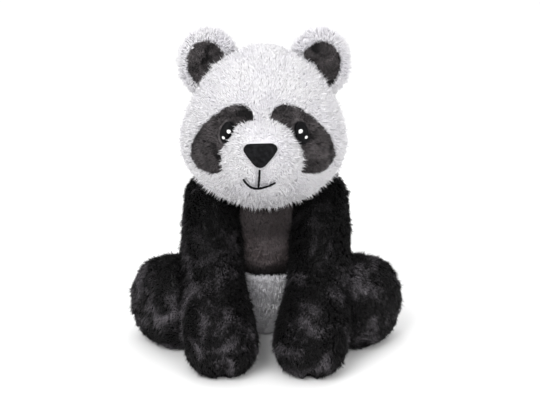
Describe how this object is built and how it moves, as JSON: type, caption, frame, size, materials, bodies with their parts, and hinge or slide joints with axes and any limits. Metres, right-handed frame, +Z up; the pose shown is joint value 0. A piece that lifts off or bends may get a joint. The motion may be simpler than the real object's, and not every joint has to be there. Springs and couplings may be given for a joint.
{
  "type": "plush panda",
  "caption": "Seated plush panda soft toy with a turning, nodding head, swinging arms, splaying hind legs and folding ears.",
  "frame": {"origin": "on the floor, at the middle of the flat seat", "axes": "+Z up; the panda faces -Y; its left side is +X"},
  "size_m": [0.2446, 0.215, 0.292],
  "materials": {
    "white_plush": "matte",
    "dark_plush": "matte",
    "chest_plush": "matte",
    "nose_suede": "matte",
    "black_thread": "satin",
    "white_thread": "satin",
    "polyester_filling": "matte",
    "pouch_cloth": "matte",
    "pellets": "matte",
    "label_tape": "satin"
  },
  "bodies": {
    "torso": {"belly_panel": "white_plush", "care_label": "label_tape", "chest_panel": "chest_plush", "closing_stitches": "white_thread", "left_lower_back": "white_plush", "left_upper_back": "dark_plush", "pellet_pouch": "pouch_cloth", "pellets": "pellets", "right_lower_back": "white_plush", "right_upper_back": "dark_plush", "seat_panel": "white_plush", "torso_stuffing": "polyester_filling"},
    "neck": {"neck_stuffing": "polyester_filling"},
    "head": {"chin_panel": "white_plush", "head_gusset": "white_plush", "head_stuffing": "polyester_filling", "left_cheek": "white_plush", "left_eye": "black_thread", "left_eye_glints": "white_thread", "left_eye_patch": "dark_plush", "left_head_back": "white_plush", "left_muzzle_panel": "white_plush", "mouth_stitching": "black_thread", "muzzle_stuffing": "polyester_filling", "nose": "nose_suede", "right_cheek": "white_plush", "right_eye": "black_thread", "right_eye_glints": "white_thread", "right_eye_patch": "dark_plush", "right_head_back": "white_plush", "right_muzzle_panel": "white_plush"},
    "left_ear": {"left_ear_back": "white_plush", "left_ear_front": "white_plush", "left_ear_lining": "dark_plush"},
    "left_arm": {"left_arm_inner": "dark_plush", "left_arm_outer": "dark_plush", "left_arm_stuffing": "polyester_filling"},
    "left_leg": {"left_foot_sole": "dark_plush", "left_leg_stuffing": "polyester_filling", "left_leg_under": "dark_plush", "left_leg_upper": "dark_plush"},
    "right_ear": {"right_ear_back": "white_plush", "right_ear_front": "white_plush", "right_ear_lining": "dark_plush"},
    "right_arm": {"right_arm_inner": "dark_plush", "right_arm_outer": "dark_plush", "right_arm_stuffing": "polyester_filling"},
    "right_leg": {"right_foot_sole": "dark_plush", "right_leg_stuffing": "polyester_filling", "right_leg_under": "dark_plush", "right_leg_upper": "dark_plush"},
    "tail": {"tail_cover": "white_plush", "tail_stuffing": "polyester_filling"}
  },
  "joints": [
    {"name": "neck_turn", "type": "hinge", "parent": "torso", "child": "neck", "pos_m": [0, -0.002, 0.15], "axis": [0, 0, 1], "range_deg": [-25, 25]},
    {"name": "neck_nod", "type": "hinge", "parent": "neck", "child": "head", "pos_m": [0, -0.002, 0.15], "axis": [-1, 0, 0], "range_deg": [-4, 12]},
    {"name": "left_arm_swing", "type": "hinge", "parent": "torso", "child": "left_arm", "pos_m": [0.05, -0.004, 0.127], "axis": [-1, 0, 0], "range_deg": [0, 45]},
    {"name": "right_arm_swing", "type": "hinge", "parent": "torso", "child": "right_arm", "pos_m": [-0.05, -0.004, 0.127], "axis": [-1, 0, 0], "range_deg": [0, 45]},
    {"name": "left_leg_splay", "type": "hinge", "parent": "torso", "child": "left_leg", "pos_m": [0.04, -0.008, 0.0385], "axis": [0, 0, 1], "range_deg": [0, 20]},
    {"name": "right_leg_splay", "type": "hinge", "parent": "torso", "child": "right_leg", "pos_m": [-0.04, -0.008, 0.0385], "axis": [0, 0, -1], "range_deg": [0, 20]},
    {"name": "left_ear_fold", "type": "hinge", "parent": "head", "child": "left_ear", "pos_m": [0.04633, -0.00652, 0.26168], "axis": [0.7078, 0.1897, -0.6805], "range_deg": [-18, 18]},
    {"name": "right_ear_fold", "type": "hinge", "parent": "head", "child": "right_ear", "pos_m": [-0.04633, -0.00652, 0.26168], "axis": [0.7078, -0.1897, 0.6805], "range_deg": [-18, 18]},
    {"name": "tail_lift", "type": "hinge", "parent": "torso", "child": "tail", "pos_m": [0, 0.054, 0.034], "axis": [1, 0, 0], "range_deg": [-20, 20]}
  ]
}
